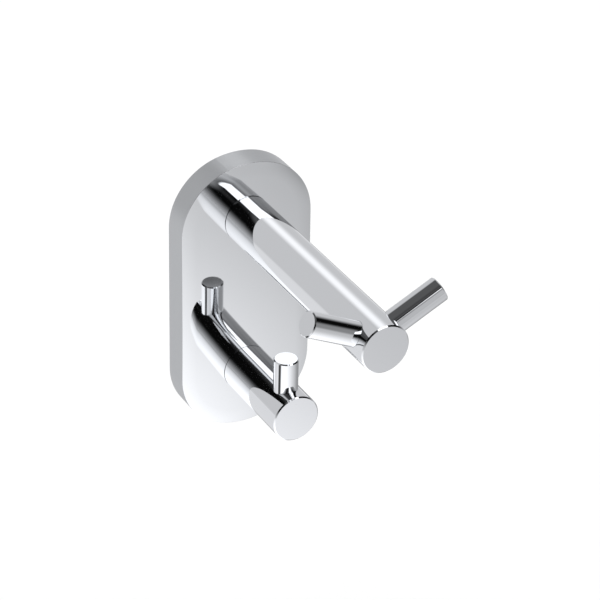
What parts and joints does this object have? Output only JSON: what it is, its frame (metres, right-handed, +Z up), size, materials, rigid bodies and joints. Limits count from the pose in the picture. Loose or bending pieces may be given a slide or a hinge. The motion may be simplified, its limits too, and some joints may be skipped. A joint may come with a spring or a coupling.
{
  "type": "double robe hook",
  "caption": "Wall hook with a rounded oblong rosette, a long arm that ends in a V of pegs and a short arm with an upright peg.",
  "frame": {"origin": "on the wall plane, at the middle of the rosette", "axes": "+Z up, +Y into the wall, the hook reaches out towards -Y, +X to the right of someone who faces it"},
  "size_m": [0.0482, 0.0965, 0.096],
  "materials": {
    "polished_chrome": "mirror",
    "bracket_steel": "brushed",
    "screw_steel": "satin"
  },
  "bodies": {
    "root": {"rosette": "polished_chrome", "wall_bracket": "bracket_steel", "upper_arm": "polished_chrome", "lower_arm": "polished_chrome", "upper_left_peg": "polished_chrome", "upper_right_peg": "polished_chrome", "lower_peg": "polished_chrome", "upper_arm_screw": "screw_steel", "lower_arm_screw": "screw_steel", "upper_lock_washer": "screw_steel", "lower_lock_washer": "screw_steel", "set_screw": "screw_steel"}
  },
  "joints": []
}
